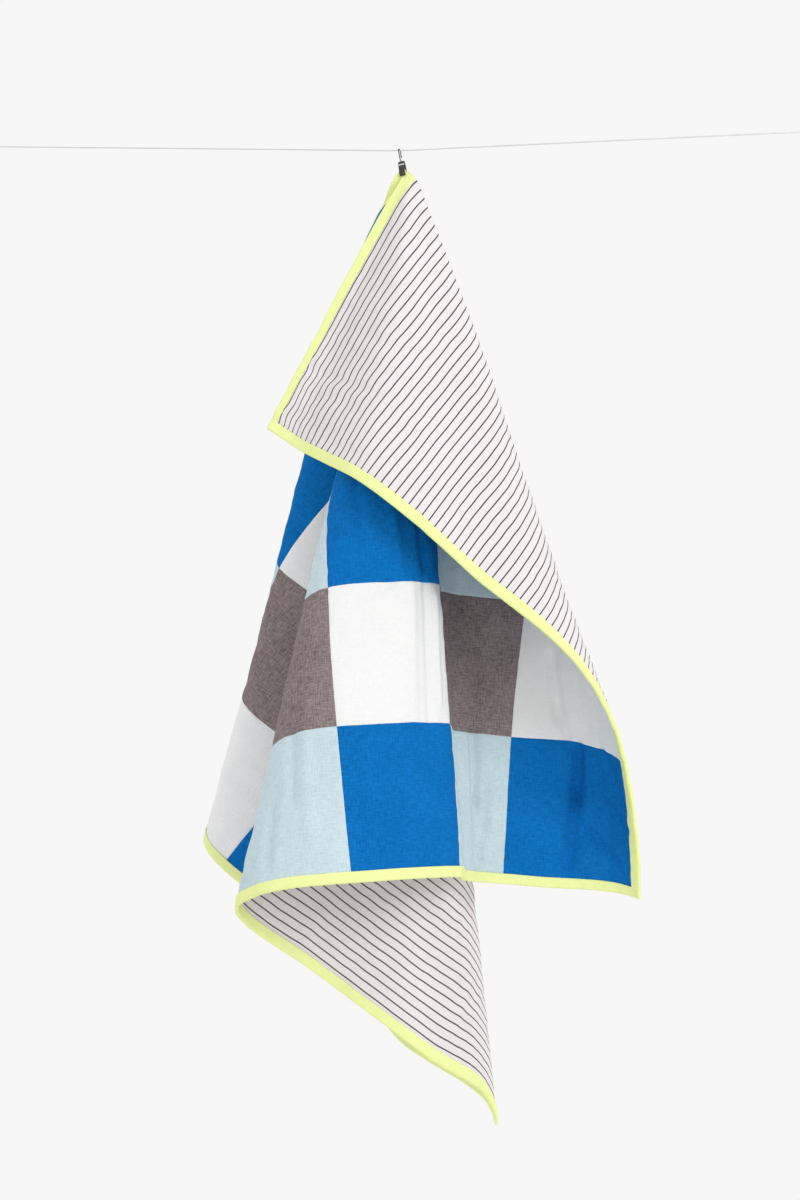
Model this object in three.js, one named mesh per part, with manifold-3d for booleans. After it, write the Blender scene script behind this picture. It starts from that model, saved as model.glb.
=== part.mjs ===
// A two-sided baby throw blanket that hangs by one clip from a thin taut wire.
// Millimetres. X runs along the wire, Y away from the viewer, Z up.
// The origin is the point of the blanket's edge that the clip holds.
import * as THREE from "three";
import { mergeVertices } from "three/addons/utils/BufferGeometryUtils.js";
import Module from "manifold-3d";

// The flat blanket: a checkerboard of squares inside a folded edge tape.
const SQUARE = 152.4;
const COLUMNS = 7;
const ROWS = 5;
const TAPE_WIDTH = 12.7;
const WIDTH = COLUMNS * SQUARE + 2 * TAPE_WIDTH;
const LENGTH = ROWS * SQUARE + 2 * TAPE_WIDTH;
const CLIP_FROM_CORNER = 338;

// Thicknesses, and the room left between the pieces.
const PANEL_THICK = 1.1;
const TAPE_PLY = 0.8;
const CLEARANCE = 0.3;
const TUCK = TAPE_PLY + CLEARANCE + 1.5;
const PACK = PANEL_THICK + CLEARANCE / 2;
const GROOVE = PACK + CLEARANCE;
const TAPE_HALF = GROOVE + TAPE_PLY;

// The drape is a set of rays from the clip. "around" is the ray's angle in the flat cloth, counted from
// the short half of the held edge. "sway" is where it hangs, in degrees to the right of straight down,
// "lean" its tilt away from the viewer, "belly" how far it bulges to the right on the way, in mm,
// "shoulder" how far it bulges to the right close to the clip, and "drawnIn" how many per cent its far
// end is short of the flat cloth, because it bows.
const FOLDS = [
  { around: 0, sway: -27.7, lean: -4, belly: 5, shoulder: 6, drawnIn: 2.2 },
  { around: 9, sway: -22, lean: -6, belly: 8, shoulder: 5, drawnIn: 0.8 },
  { around: 18, sway: -15.5, lean: -13, belly: 10, shoulder: 5, drawnIn: 0 },
  { around: 27, sway: -8.5, lean: -18, belly: 13, shoulder: 5, drawnIn: 0 },
  { around: 36, sway: 0.5, lean: -17, belly: 13, shoulder: 5, drawnIn: 0 },
  { around: 45, sway: 9, lean: -13.5, belly: 12, shoulder: 6, drawnIn: 0 },
  { around: 54, sway: 17.5, lean: -10.5, belly: 12, shoulder: 7, drawnIn: 0 },
  { around: 61, sway: 20, lean: -5, belly: 13, shoulder: 7.5, drawnIn: 0 },
  { around: 68, sway: 17, lean: 0.5, belly: 10, shoulder: 6.5, drawnIn: 0 },
  { around: 75, sway: 10.2, lean: 0.5, belly: 5, shoulder: 6, drawnIn: 0 },
  { around: 82, sway: 5, lean: -2, belly: 2, shoulder: 6, drawnIn: 0 },
  { around: 89, sway: 4.3, lean: -8, belly: 3, shoulder: 6.5, drawnIn: 0 },
  { around: 97, sway: -1.5, lean: -12.5, belly: 7, shoulder: 6, drawnIn: 0 },
  { around: 105, sway: -9.5, lean: -13, belly: 8, shoulder: 6, drawnIn: 0 },
  { around: 111, sway: -12.2, lean: -9, belly: 4, shoulder: 6, drawnIn: 0 },
  { around: 118, sway: -6.3, lean: -5.7, belly: 4, shoulder: 5, drawnIn: 0 },
  { around: 126, sway: 1.1, lean: -5.2, belly: 3.5, shoulder: 4, drawnIn: 0 },
  { around: 131, sway: 4.8, lean: 2.2, belly: 3, shoulder: 4, drawnIn: 0 },
  { around: 135, sway: 5.2, lean: 4.2, belly: 3, shoulder: 4, drawnIn: 0 },
  { around: 139, sway: -0.2, lean: 6.2, belly: 2, shoulder: 3, drawnIn: 0 },
  { around: 143, sway: -2.6, lean: 7.3, belly: 0, shoulder: 2, drawnIn: 0 },
  { around: 152, sway: -9.5, lean: 4, belly: -9, shoulder: -1.5, drawnIn: 0 },
  { around: 160, sway: -16.5, lean: 6.5, belly: -20, shoulder: -3.5, drawnIn: 0 },
  { around: 168, sway: -13.5, lean: 13, belly: -28, shoulder: -4, drawnIn: 0 },
  { around: 180, sway: -1.5, lean: 14, belly: -36, shoulder: -3, drawnIn: 0 },
];
const BELLY_AT = 167;
const BELLY_PER_LEAN = 0.7;
const SHOULDER_AT = 16;
const BOW_FULL_AT = 300;
const PINCH_RADIUS = 14;
const FULL_THICKNESS_AT = 100;
const SLOPE_REACH = 0.05;

// The net that the cloth solids are cut from: rays, and rings around the clip. Points closer than MERGE
// are one.
const RAY_STEP = 3;
const RINGS = [8, 13, 21, 34, 55, 90, 145, 230, 360, 560, 820, 1080];
const MERGE = 0.002;

// The clip, its hook, the wire and the studs at the wire's ends.
const CLIP = {
  width: 7, sheet: 0.9, top: 7.5, bottom: -9, topHalf: 1.6, waistHalf: 2.4, waistHeight: 0.75,
  jawHalf: 3.2, lipHeight: 1.6, lipTurnedIn: 0.7, yaw: -24, tilt: -10, x: -0.6,
};
const HOOK = { wire: 1.2, bend: 2.4, tip: 11.5, shank: 3, root: 0.2, sides: 8, steps: 22 };
const WIRE = {
  diameter: 1.5, left: -471, right: 465, leftZ: 23.6, hookZ: 19.4, rightZ: 40,
  levelEnd: 14, bedHalf: 60, leftRise: 0.5, rightRise: 2.7, sides: 8, steps: 40,
};
const STUD = { flange: 9, flangeThick: 3, neck: 3.5, length: 12, socket: 6, chamfer: 0.7, segments: 20 };
const CURVE_STEP = 30;

const rad = THREE.MathUtils.degToRad;

// One column of the fold table at a ray, as a smooth curve through the rows.
function foldValue(column, around) {
  const last = FOLDS.length - 2;
  let i = 0;
  while (i < last && around >= FOLDS[i + 1].around) i++;
  const slope = (k) => {
    const a = FOLDS[Math.max(k - 1, 0)];
    const b = FOLDS[Math.min(k + 1, FOLDS.length - 1)];
    return (b[column] - a[column]) / (b.around - a.around);
  };
  const step = FOLDS[i + 1].around - FOLDS[i].around;
  const t = (around - FOLDS[i].around) / step;
  const hold = 2 * t ** 3 - 3 * t ** 2 + 1;
  return (
    hold * FOLDS[i][column] +
    (1 - hold) * FOLDS[i + 1][column] +
    (t ** 3 - 2 * t ** 2 + t) * step * slope(i) +
    (t ** 3 - t ** 2) * step * slope(i + 1)
  );
}

// A bulge that peaks at one distance from the clip and dies away below it.
const bulge = (r, peak) => (r / peak) * Math.exp(1 - r / peak);

// How far the pleats have opened from the clip's grip, 0 to 1.
const openness = (r) => r ** 2 / (r ** 2 + PINCH_RADIUS ** 2);

const fromClip = (u, v) => Math.hypot(u - CLIP_FROM_CORNER, LENGTH - v);

// The hung place of the point of the cloth that is u from the short edge and v from the long free edge.
function hang(u, v) {
  const r = fromClip(u, v);
  const around = THREE.MathUtils.radToDeg(Math.atan2(LENGTH - v, CLIP_FROM_CORNER - u));
  const sway = foldValue("sway", around);
  const lean = foldValue("lean", around);
  const bow = (foldValue("drawnIn", around) / 100) * THREE.MathUtils.smoothstep(r, 0, BOW_FULL_AT);
  const reach = r * (1 - bow) * Math.cos(rad(lean));
  return new THREE.Vector3(
    reach * Math.sin(rad(sway)) +
      foldValue("belly", around) * bulge(r, BELLY_AT) +
      foldValue("shoulder", around) * bulge(r, SHOULDER_AT),
    (r * Math.sin(rad(lean)) + BELLY_PER_LEAN * lean * bulge(r, BELLY_AT)) * openness(r),
    -reach * Math.cos(rad(sway)),
  );
}

// A point off the cloth's middle, positive towards the patchwork side; the cloth is pressed thin at the clip.
function offMiddle([u, v], off) {
  const e = SLOPE_REACH;
  const vIn = Math.min(v, LENGTH - e);
  const du = hang(u + e, vIn).sub(hang(u - e, vIn));
  const dv = hang(u, vIn + e).sub(hang(u, vIn - e));
  const r = fromClip(u, v);
  const pressed = Math.min(1, r / FULL_THICKNESS_AT) * openness(r);
  return hang(u, v).addScaledVector(dv.cross(du).normalize(), off * pressed);
}

// A point of the net is a place in the flat cloth and its shares of the corners of the triangle it is in,
// so every piece that is cut from the net lies on the same facets.
function place({ corners, shares }, off) {
  const placed = new THREE.Vector3();
  corners.forEach((c, i) => {
    if (shares[i]) placed.addScaledVector(offMiddle(c, off), shares[i]);
  });
  return placed;
}

// The net's triangles, turning counter-clockwise in the flat cloth.
function netTriangles() {
  const corner = (r, a) => [
    CLIP_FROM_CORNER - r * Math.cos(rad(a)),
    LENGTH - r * Math.sin(rad(a)),
  ];
  const triangles = [];
  for (let a = 0; a < 180; a += RAY_STEP)
    for (let k = 0; k + 1 < RINGS.length; k++) {
      const near = [corner(RINGS[k], a), corner(RINGS[k], a + RAY_STEP)];
      const far = [corner(RINGS[k + 1], a), corner(RINGS[k + 1], a + RAY_STEP)];
      for (const corners of [
        [near[0], far[0], far[1]],
        [near[0], far[1], near[1]],
      ])
        triangles.push(
          corners.map((at, i) => ({ at, corners, shares: [0, 1, 2].map((j) => (i === j ? 1 : 0)) })),
        );
    }
  return triangles;
}

// The part of a polygon where a*u + b*v + c >= 0.
function cut(polygon, [a, b, c]) {
  const side = ({ at }) => a * at[0] + b * at[1] + c;
  const between = (x, y, t) => x.map((value, i) => value + t * (y[i] - value));
  const kept = [];
  polygon.forEach((p, i) => {
    const q = polygon[(i + 1) % polygon.length];
    const [sp, sq] = [side(p), side(q)];
    if (sp >= 0) kept.push(p);
    if (sp * sq < 0) {
      const t = sp / (sp - sq);
      kept.push({ ...p, at: between(p.at, q.at, t), shares: between(p.shares, q.shares, t) });
    }
  });
  return kept;
}

// A rectangle of cloth that lies at least "inset" from every edge.
const inside = (inset) => [
  [
    [1, 0, -inset],
    [-1, 0, WIDTH - inset],
    [0, 1, -inset],
    [0, -1, LENGTH - inset],
  ],
];

// The band between two distances from the edge, as four strips with mitred ends.
function band(near, far) {
  const sides = [
    [1, 0, 0],
    [-1, 0, WIDTH],
    [0, 1, 0],
    [0, -1, LENGTH],
  ];
  return sides.map((edge) => {
    const others = sides.filter((s) => s[0] * edge[0] + s[1] * edge[1] === 0);
    return [
      [edge[0], edge[1], edge[2] - near],
      [-edge[0], -edge[1], far - edge[2]],
      ...others.map((s) => [s[0] - edge[0], s[1] - edge[1], s[2] - edge[2]]),
    ];
  });
}

// The net cut to a list of convex regions of the flat cloth.
function flatMesh(regions) {
  const points = [];
  const known = new Map();
  const indexOf = (p) => {
    const key = p.at.map((x) => Math.round(x * 1e4)).join();
    if (!known.has(key)) {
      known.set(key, points.length);
      points.push(p);
    }
    return known.get(key);
  };
  const triangles = [];
  for (const facet of net)
    for (const region of regions) {
      const polygon = region.reduce(cut, facet);
      const ids = [...new Set(polygon.map(indexOf))];
      for (let i = 1; i + 1 < ids.length; i++) triangles.push([ids[0], ids[i], ids[i + 1]]);
    }
  return { points, triangles };
}

// The edges that only one triangle of a flat mesh uses, each in that triangle's direction.
function rimEdges({ points, triangles }) {
  const edges = new Map();
  for (const t of triangles)
    for (let i = 0; i < 3; i++) {
      const [a, b] = [t[i], t[(i + 1) % 3]];
      if (!edges.delete(b + "-" + a)) edges.set(a + "-" + b, [points[a], points[b]]);
    }
  return [...edges.values()];
}

// Collects the faces of a draped solid and closes them into one geometry.
class Draped {
  faces = [];

  sheet({ points, triangles }, off, front) {
    const placed = points.map((p) => place(p, off));
    for (const [a, b, c] of triangles)
      this.faces.push(placed[a], front ? placed[c] : placed[b], front ? placed[b] : placed[c]);
  }

  wall(edges, low, high) {
    for (const [p, q] of edges) {
      const [pl, ql, ph, qh] = [place(p, low), place(q, low), place(p, high), place(q, high)];
      this.faces.push(ql, pl, ph, ql, ph, qh);
    }
  }

  geometry() {
    return mergeVertices(new THREE.BufferGeometry().setFromPoints(this.faces), MERGE);
  }
}

const net = netTriangles();

function panelGeometry(low, high) {
  const cloth = flatMesh(inside(TUCK));
  const solid = new Draped();
  solid.sheet(cloth, high, true);
  solid.sheet(cloth, low, false);
  solid.wall(rimEdges(cloth), low, high);
  return solid.geometry();
}

// The edge tape wraps the panels' edges: two plies joined by a spine along the outer edge.
function tapeGeometry() {
  const spine = flatMesh(band(0, TAPE_PLY));
  const plies = flatMesh(band(TAPE_PLY, TAPE_WIDTH));
  const onFold = ([p, q]) => [p, q].every((x) => Math.abs(edgeDistance(x) - TAPE_PLY) < 1e-3);
  const solid = new Draped();
  for (const part of [spine, plies]) {
    solid.sheet(part, TAPE_HALF, true);
    solid.sheet(part, -TAPE_HALF, false);
    const open = rimEdges(part).filter((edge) => !onFold(edge));
    solid.wall(open, GROOVE, TAPE_HALF);
    solid.wall(open, -TAPE_HALF, -GROOVE);
    if (part === spine) solid.wall(open, -GROOVE, GROOVE);
  }
  solid.sheet(plies, GROOVE, false);
  solid.sheet(plies, -GROOVE, true);
  solid.wall(rimEdges(spine).filter(onFold), -GROOVE, GROOVE);
  return solid.geometry();
}

function edgeDistance({ at: [u, v] }) {
  return Math.min(u, WIDTH - u, v, LENGTH - v);
}

// The outline of a bent strip of sheet metal: a path through its middle, thickened to both sides.
function stripShape(path, thick) {
  const offset = (side) =>
    path.map((p, i) => {
      const before = path[Math.max(i - 1, 0)];
      const after = path[Math.min(i + 1, path.length - 1)];
      const along = after.clone().sub(before).normalize();
      return new THREE.Vector2(-along.y, along.x).multiplyScalar((side * thick) / 2).add(p);
    });
  return new THREE.Shape([...offset(1), ...offset(-1).reverse()]);
}

// A round wire of a given number of sides along a curve.
function wireGeometry(curve, diameter, sides, steps) {
  const ring = new THREE.Shape();
  for (let i = 0; i < sides; i++) {
    const a = (2 * Math.PI * i) / sides;
    const [x, y] = [(diameter / 2) * Math.cos(a), (diameter / 2) * Math.sin(a)];
    if (i) ring.lineTo(x, y);
    else ring.moveTo(x, y);
  }
  ring.closePath();
  return new THREE.ExtrudeGeometry(ring, { steps, bevelEnabled: false, extrudePath: curve });
}

// A closed geometry as a solid that can be joined to another.
function solidOf(wasm, geometry) {
  const bare = geometry.clone();
  bare.deleteAttribute("normal");
  bare.deleteAttribute("uv");
  const merged = mergeVertices(bare, 1e-4);
  return new wasm.Manifold(
    new wasm.Mesh({
      numProp: 3,
      vertProperties: merged.attributes.position.array,
      triVerts: new Uint32Array(merged.index.array),
    }),
  );
}

function joined(wasm, ...geometries) {
  const mesh = geometries
    .map((g) => solidOf(wasm, g))
    .reduce((a, b) => a.add(b))
    .getMesh();
  const made = new THREE.BufferGeometry();
  made.setAttribute("position", new THREE.BufferAttribute(mesh.vertProperties, 3));
  made.setIndex(new THREE.BufferAttribute(mesh.triVerts, 1));
  return made;
}

// The sprung clip: a strip bent over at the top, a jaw down each side of the cloth, and a hook on its back.
function clipGeometry(wasm) {
  const { width, sheet, top, bottom, topHalf, waistHalf, jawHalf } = CLIP;
  const bend = [];
  for (let a = 180; a >= 0; a -= CURVE_STEP)
    bend.push(
      new THREE.Vector2(
        topHalf * Math.cos(rad(a)),
        top - topHalf - sheet / 2 + topHalf * Math.sin(rad(a)),
      ),
    );
  const jaw = (side) => [
    new THREE.Vector2(side * (jawHalf - CLIP.lipTurnedIn), bottom),
    new THREE.Vector2(side * jawHalf, bottom + CLIP.lipHeight),
    new THREE.Vector2(side * waistHalf, CLIP.waistHeight),
  ];
  const path = [...jaw(-1), ...bend, ...jaw(1).reverse()];
  const strip = new THREE.ExtrudeGeometry(stripShape(path, sheet), {
    depth: width,
    bevelEnabled: false,
  });
  strip.translate(0, 0, -width / 2);
  strip.rotateX(Math.PI / 2);
  strip.rotateZ(Math.PI / 2);
  const crown = (WIRE.hookZ + WIRE.diameter / 2 + CLEARANCE) / Math.cos(rad(CLIP.tilt)) + HOOK.wire / 2;
  const points = [
    new THREE.Vector3(0, -HOOK.root, top - sheet / 2),
    new THREE.Vector3(0, -HOOK.bend, top + HOOK.shank),
  ];
  for (let a = 180; a >= 0; a -= CURVE_STEP)
    points.push(
      new THREE.Vector3(0, HOOK.bend * Math.cos(rad(a)), crown - HOOK.bend + HOOK.bend * Math.sin(rad(a))),
    );
  points.push(new THREE.Vector3(0, HOOK.bend, HOOK.tip));
  const hook = wireGeometry(new THREE.CatmullRomCurve3(points), HOOK.wire, HOOK.sides, HOOK.steps);
  return joined(wasm, strip, hook);
}

// The taut wire, from stud to stud, with a slight dip where the hook bears on it.
function lineGeometry() {
  const { left, right, leftZ, rightZ, hookZ, bedHalf } = WIRE;
  const hookX = CLIP.x + hookZ * Math.tan(rad(CLIP.tilt));
  const stop = STUD.length - STUD.socket + CLEARANCE;
  const at = (x, z) => new THREE.Vector3(x, 0, z);
  const curve = new THREE.CatmullRomCurve3([
    at(left + stop, leftZ),
    at(left + stop + WIRE.levelEnd, leftZ),
    at(hookX - bedHalf, hookZ + WIRE.leftRise),
    at(hookX, hookZ),
    at(hookX + bedHalf, hookZ + WIRE.rightRise),
    at(right - stop - WIRE.levelEnd, rightZ),
    at(right - stop, rightZ),
  ]);
  return wireGeometry(curve, WIRE.diameter, WIRE.sides, WIRE.steps);
}

// A turned stud: a flange for the wall, and a neck with a socket for the wire.
function studGeometry() {
  const { flange, flangeThick, neck, length, socket, chamfer } = STUD;
  const bore = WIRE.diameter / 2 + CLEARANCE;
  const profile = [
    [0, 0],
    [flange, 0],
    [flange, flangeThick - chamfer],
    [flange - chamfer, flangeThick],
    [neck, flangeThick],
    [neck, length - chamfer],
    [neck - chamfer, length],
    [bore, length],
    [bore, length - socket],
    [0, length - socket],
  ].map(([x, y]) => new THREE.Vector2(x, y));
  return new THREE.LatheGeometry(profile, STUD.segments);
}

function mesh(name, geometry, color, roughness, metalness) {
  geometry.computeVertexNormals();
  const made = new THREE.Mesh(geometry, new THREE.MeshStandardMaterial({ color, roughness, metalness }));
  made.name = name;
  return made;
}

const wasm = await Module();
wasm.setup();

const blanket = new THREE.Group();
blanket.add(
  mesh("front_panel", panelGeometry(CLEARANCE / 2, PACK), 0x1b6cb4, 0.95, 0),
  mesh("backing_panel", panelGeometry(-PACK, -CLEARANCE / 2), 0xece6e6, 0.95, 0),
  mesh("edge_tape", tapeGeometry(), 0xe6f27a, 0.9, 0),
);

const hanger = new THREE.Group();
hanger.position.x = CLIP.x;
hanger.rotation.set(0, rad(CLIP.tilt), rad(CLIP.yaw), "YZX");
hanger.add(mesh("clip", clipGeometry(wasm), 0x6f6a68, 0.35, 1));

const line = mesh("wire", lineGeometry(), 0x9a9a98, 0.35, 1);
const leftStud = mesh("wire_stud_left", studGeometry(), 0xb4b4b2, 0.3, 1);
leftStud.position.set(WIRE.left, 0, WIRE.leftZ);
leftStud.rotation.z = -Math.PI / 2;
const rightStud = mesh("wire_stud_right", studGeometry(), 0xb4b4b2, 0.3, 1);
rightStud.position.set(WIRE.right, 0, WIRE.rightZ);
rightStud.rotation.z = Math.PI / 2;

const throwOnWire = new THREE.Group();
throwOnWire.add(blanket, hanger, line, leftStud, rightStud);

export default throwOnWire;
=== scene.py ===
import math

import bpy
import numpy as np
from bpy.props import FloatProperty, FloatVectorProperty, IntProperty, PointerProperty
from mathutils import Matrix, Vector


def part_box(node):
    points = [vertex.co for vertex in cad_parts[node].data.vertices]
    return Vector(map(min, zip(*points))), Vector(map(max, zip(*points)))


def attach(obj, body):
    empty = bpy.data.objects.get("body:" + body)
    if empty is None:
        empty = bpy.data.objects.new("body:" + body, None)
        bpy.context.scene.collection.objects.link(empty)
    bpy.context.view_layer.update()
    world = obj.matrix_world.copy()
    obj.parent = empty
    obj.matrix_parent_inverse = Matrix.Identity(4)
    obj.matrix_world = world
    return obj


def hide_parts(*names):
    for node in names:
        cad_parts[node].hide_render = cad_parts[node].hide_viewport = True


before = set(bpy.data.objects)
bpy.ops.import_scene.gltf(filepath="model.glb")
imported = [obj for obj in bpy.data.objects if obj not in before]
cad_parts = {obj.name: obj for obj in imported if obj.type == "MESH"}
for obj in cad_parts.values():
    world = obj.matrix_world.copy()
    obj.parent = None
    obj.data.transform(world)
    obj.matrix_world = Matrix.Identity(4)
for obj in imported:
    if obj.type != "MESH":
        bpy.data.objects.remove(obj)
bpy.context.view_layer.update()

bl_info = {
    "name": "Hung patchwork throw",
    "version": (1, 0, 0),
    "blender": (4, 5, 0),
    "location": "3D View > Sidebar > Throw",
    "description": "Dresses a two-sided baby throw that hangs by one clip from a taut wire",
    "category": "Add Mesh",
}

MM = 0.001

# The flat blanket, in metres. u runs along the long edges from the short edge that shows in front,
# v from the free long edge up to the long edge that the clip holds.
SQUARE = 152.4 * MM
COLUMNS = 7
ROWS = 5
TAPE_WIDTH = 12.7 * MM
WIDTH = COLUMNS * SQUARE + 2 * TAPE_WIDTH
LENGTH = ROWS * SQUARE + 2 * TAPE_WIDTH
CLIP_FROM_CORNER = 338 * MM

# How far the layers lie from the cloth's middle, patchwork side positive, how far in from the blanket's edge
# the panels end, and how much deeper they end at the clip, in a zone this far to each side of it.
PANEL_FACE = 1.25 * MM
TUCK = 2.6 * MM
CLIP_TUCK = 7 * MM
CLIP_ZONE = 36 * MM

# The net of lines that both panels are built on: its steps, and the lines beside each seam, in metres from it.
NET_STEP = 3.9 * MM
NET_STEP_AT_CLIP = 1.3 * MM
NET_STEP_LEAST = 0.7 * MM
BESIDE_SEAM = np.array((0.8, 2.2, 5)) * MM

# The drape, in rays from the clip. "around" is the ray's angle in the flat cloth, "sway" where it hangs, in
# degrees to the right of straight down, "lean" its tilt away from the viewer, "belly" how far it bulges to the
# right on the way, in millimetres, "shoulder" how far close to the clip, and "drawn_in" how many per cent its
# far end is short of the flat cloth. The rows are the solids' own, but for the belly, the shoulder and the last
# bit of sway of the first row, and the shoulders of the last four: they move the cloth at the clip by up to
# 14 mm.
FOLD_COLUMNS = ("around", "sway", "lean", "belly", "shoulder", "drawn_in")
FOLDS = np.array((
    (0, -27.3, -4, 1, 4, 2.2),
    (9, -22, -6, 8, 5, 0.8),
    (18, -15.5, -13, 10, 5, 0),
    (27, -8.5, -18, 13, 5, 0),
    (36, 0.5, -17, 13, 5, 0),
    (45, 9, -13.5, 12, 6, 0),
    (54, 17.5, -10.5, 12, 7, 0),
    (61, 20, -5, 13, 7.5, 0),
    (68, 17, 0.5, 10, 6.5, 0),
    (75, 10.2, 0.5, 5, 6, 0),
    (82, 5, -2, 2, 6, 0),
    (89, 4.3, -8, 3, 6.5, 0),
    (97, -1.5, -12.5, 7, 6, 0),
    (105, -9.5, -13, 8, 6, 0),
    (111, -12.2, -9, 4, 6, 0),
    (118, -6.3, -5.7, 4, 5, 0),
    (126, 1.1, -5.2, 3.5, 4, 0),
    (131, 4.8, 2.2, 3, 4, 0),
    (135, 5.2, 4.2, 3, 4, 0),
    (139, -0.2, 6.2, 2, 3, 0),
    (143, -2.6, 7.3, 0, 2, 0),
    (152, -9.5, 4, -9, 4, 0),
    (160, -16.5, 6.5, -20, 10, 0),
    (168, -13.5, 13, -28, 6, 0),
    (180, -1.5, 14, -36, -4, 0),
), dtype=float)

# Where the belly and the shoulder peak, how far a degree of lean bulges away from the viewer, where the
# drawing-in is full, how far out the clip's grip is felt, where the layers have their full thickness, and the
# step over which the cloth's slope is read.
BELLY_AT = 167 * MM
BELLY_PER_LEAN = 0.7 * MM
SHOULDER_AT = 16 * MM
DRAWN_IN_AT = 300 * MM
PINCH_RADIUS = 14 * MM
FULL_THICKNESS_AT = 100 * MM
SLOPE_REACH = 0.4 * MM

# The cloth's unevenness: rows of waves, each with its share, its lengths along u and v in millimetres, and its
# seed. The first two tables move the cloth, the others move the yarns in it, in millimetres along u and v.
WAVE_COLUMNS = ("share", "along_u", "along_v", "seed")
SLACK_WAVES = ((1, 130, 95, 3), (0.5, 60, 75, 5))
GAUZE_WAVES = ((1, 11, 46, 7), (0.6, 38, 13, 11), (0.4, 7, 9, 13))
YARN_WAVES_U = ((0.4, 30, 24, 17),)
YARN_WAVES_V = ((0.5, 13, 36, 19), (0.6, 70, 80, 23))
LIMP_YARN_WAVES_V = ((2.6, 13, 36, 19), (0.35, 6, 16, 21))

# The flap's corner is limper: how much more it crinkles and how far round, and where its yarns wander.
LIMP_CRINKLE = 1.2
LIMP_CRINKLE_REACH = 260 * MM
LIMP_YARNS_U = 190 * MM
LIMP_YARNS_V = 150 * MM
LIMP_YARNS_EDGE = 1.15

# The cloth is smooth this close to the clip, and fully uneven from here on.
SMOOTH_TO = 20 * MM
UNEVEN_FROM = 200 * MM

# The drawn-in line at a seam between two squares, and the puckers along it.
SEAM = {"dip": 0.7 * MM, "reach": 0.9 * MM, "pucker": 0.7 * MM, "pucker_reach": 6 * MM, "pucker_apart": 8 * MM}
SEAM_SEED = 29
SEAM_SHIFT = 3.7

# The main creases, each a straight run in the flat cloth, in millimetres. "depth" is how far its middle
# stands towards the patchwork side, so troughs seen on that side are negative, and "reach" is its half width.
CREASE_COLUMNS = ("u0", "v0", "u1", "v1", "depth", "reach")
CREASES = np.array((
    (214, 160, 206, 91, -2.2, 7),
    (206, 91, 204, 33, -1.8, 7),
    (194, 107, 193, 65, -1.2, 5),
    (193, 65, 201, 18, -1.0, 5),
    (226, 150, 222, 60, 0.9, 6),
    (90, 152, 88, 100, -2.4, 6),
    (88, 100, 89, 32, -2.4, 6),
    (50, 158, 22, 114, -1.3, 5),
    (75, 148, 72, 102, 1.2, 5),
    (71, 67, 35, 37, -1.2, 5),
    (52, 104, 20, 84, -1.0, 5),
    (129, 253, 117, 197, -1.9, 7),
    (117, 197, 104, 169, -1.5, 6),
    (220, 292, 216, 185, -1.7, 7),
    (239, 318, 233, 268, -1.3, 6),
    (262, 310, 258, 180, 0.8, 6),
    (375, 309, 385, 168, 1.2, 7),
    (353, 309, 359, 168, -1.1, 6),
    (337, 300, 341, 190, 0.8, 5),
    (400, 316, 436, 300, -0.9, 5),
    (360, 462, 352, 340, -1.2, 7),
    (392, 400, 388, 330, 0.9, 6),
    (430, 470, 428, 350, -0.9, 7),
    (524, 158, 526, 98, -1.1, 6),
    (556, 89, 561, 36, -1.2, 6),
    (505, 150, 508, 60, 0.8, 6),
    (455, 140, 458, 40, -0.8, 7),
    (585, 240, 592, 175, -1.0, 6),
), dtype=float)

# The tape's section: how far in from the blanket's edge, and how far off the cloth's middle, in millimetres.
# It runs from the front ply's sewn edge round the fold to the back ply's, and back along the inside.
TAPE_COLUMNS = ("inward", "off")
TAPE_SECTION = np.array((
    (11.90, 1.60),
    (11.98, 1.95),
    (11.65, 2.28),
    (10.80, 2.36),
    (9.80, 2.30),
    (7.00, 2.46),
    (3.60, 2.44),
    (1.60, 2.24),
    (0.50, 1.70),
    (0.05, 0.90),
    (0.00, 0.00),
    (0.05, -0.90),
    (0.50, -1.70),
    (1.60, -2.24),
    (3.60, -2.44),
    (7.00, -2.46),
    (9.80, -2.30),
    (10.80, -2.36),
    (11.65, -2.28),
    (11.98, -1.95),
    (11.90, -1.60),
    (7.00, -1.56),
    (2.20, -1.55),
    (1.40, -0.90),
    (1.20, 0.00),
    (1.40, 0.90),
    (2.20, 1.55),
    (7.00, 1.56),
), dtype=float)

# The tape's stations along a side: those beside a mitre, where the even run between the mitres starts, its
# step, and how many at the clip's fine step lie on each side of the clip.
BESIDE_MITRE = np.array((0.8, 2.2, 4.5)) * MM
TAPE_RUN_FROM = 8 * MM
TAPE_STEP = 3.4 * MM
TAPE_STEPS_AT_CLIP = 36

# The mitre is drawn in a little, and the tape puckers along its sewn edge, both only on its outer faces, which
# lie further off the cloth's middle than this.
TAPE_OUTER_FACE = 1.7 * MM
MITRE_DIP = 0.3 * MM
MITRE_REACH = 1 * MM
TAPE_PUCKER = 0.25 * MM
TAPE_PUCKER_APART = 7 * MM
TAPE_SEED = 31

# The clip, its hook, the wire and the studs, in millimetres, as in the solids. The clip is turned by "yaw" and
# "tilt" degrees. A jaw's line is (across, height), from its lip up by the waist to the crimp under the top.
CLIP = {
    "width": 7, "sheet": 0.9, "round_off": 0.25, "top": 7.5, "top_half": 1.6, "yaw": -24, "tilt": -10, "x": -0.6,
}
JAW_LINE = np.array((
    (2.5, -9), (3.05, -8.2), (3.2, -7.4), (2.85, -3.7), (2.45, 0.25), (2.3, 1.35), (1.95, 2.2), (2.35, 2.7),
    (2.35, 3.2), (1.85, 3.7),
))
HOOK = {"wire": 1.2, "bend": 2.4, "straight": 2.5, "tip": 11.5, "shank": 3, "root": 0.2, "play": 0.3}
# The hook's neck from root to shank, as (forward of the clip's middle, above its top).
HOOK_NECK = ((1.2, 0.8), (2.1, 2))
# The steps, in degrees, in which the strip's and the hook's bends are drawn.
BEND_STEP = 15
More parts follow.
